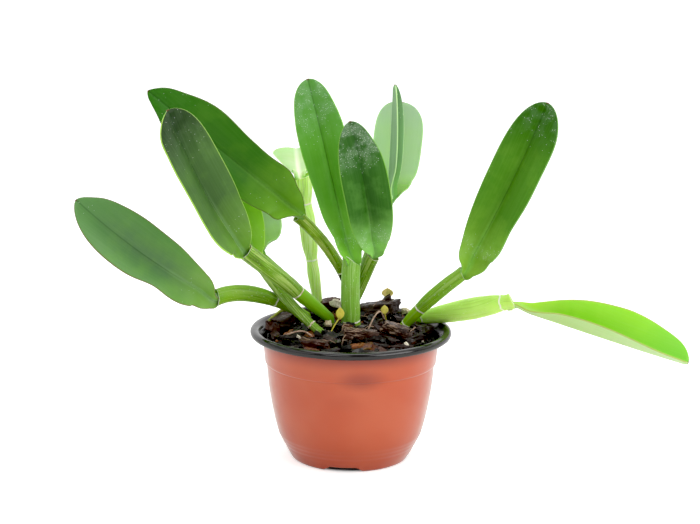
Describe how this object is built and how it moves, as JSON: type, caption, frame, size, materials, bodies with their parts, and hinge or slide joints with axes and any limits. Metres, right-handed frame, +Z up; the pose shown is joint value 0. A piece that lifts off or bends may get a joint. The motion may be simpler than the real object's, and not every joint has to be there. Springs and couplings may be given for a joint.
{
  "type": "potted orchid",
  "caption": "Potted rhyncholaelia digbyana orchid with folded oval leaves on swollen stems, standing in bark in a round terracotta-coloured plastic nursery pot with a raised lip",
  "frame": {"origin": "The middle of the pot's foot, on the flat face that the pot stands on, where the pot's axis meets it", "axes": "+Z is up along the pot's axis. +X is the plant's right side, the way its lowest right leaf reaches, and -Y is its front"},
  "size_m": [0.3808, 0.2298, 0.2443],
  "materials": {
    "pot_plastic": "smooth terracotta-coloured plastic outside, near-black inside and on the lip's edge",
    "bark": "dark rough bark chips",
    "stem": "olive-green stem with fine lengthwise lines",
    "lime_stem": "lime-green stem with fine lengthwise lines",
    "old_leaf": "waxy grey-green leaf",
    "leaf": "waxy deep green leaf",
    "young_leaf": "waxy lime-green leaf",
    "pale_leaf": "waxy pale grey-green leaf",
    "green_root": "yellow-green root",
    "dry_root": "pale dry root",
    "seedling": "yellow-green seedling"
  },
  "bodies": {
    "root": {"pot": "pot_plastic", "bark_mix": "bark", "stem_left_low": "stem", "stem_left_front": "stem", "stem_left_inner": "stem", "stem_left_back": "stem", "stem_left_high": "stem", "stem_back_lime": "lime_stem", "stem_middle": "stem", "stem_middle_front": "stem", "stem_back_twin": "stem", "stem_right_high": "stem", "stem_right_low": "lime_stem", "leaf_left_low": "old_leaf", "leaf_left_front": "old_leaf", "leaf_left_inner": "leaf", "leaf_left_back": "pale_leaf", "leaf_left_high": "leaf", "leaf_back_lime": "young_leaf", "leaf_middle": "leaf", "leaf_middle_front": "leaf", "leaf_back_twin_1": "pale_leaf", "leaf_back_twin_2": "old_leaf", "leaf_right_high": "leaf", "leaf_right_low": "young_leaf", "root_green": "green_root", "root_dry_left": "dry_root", "root_dry_right": "dry_root", "seedling_front": "seedling", "seedling_back": "seedling", "seedling_right": "seedling"}
  },
  "joints": []
}
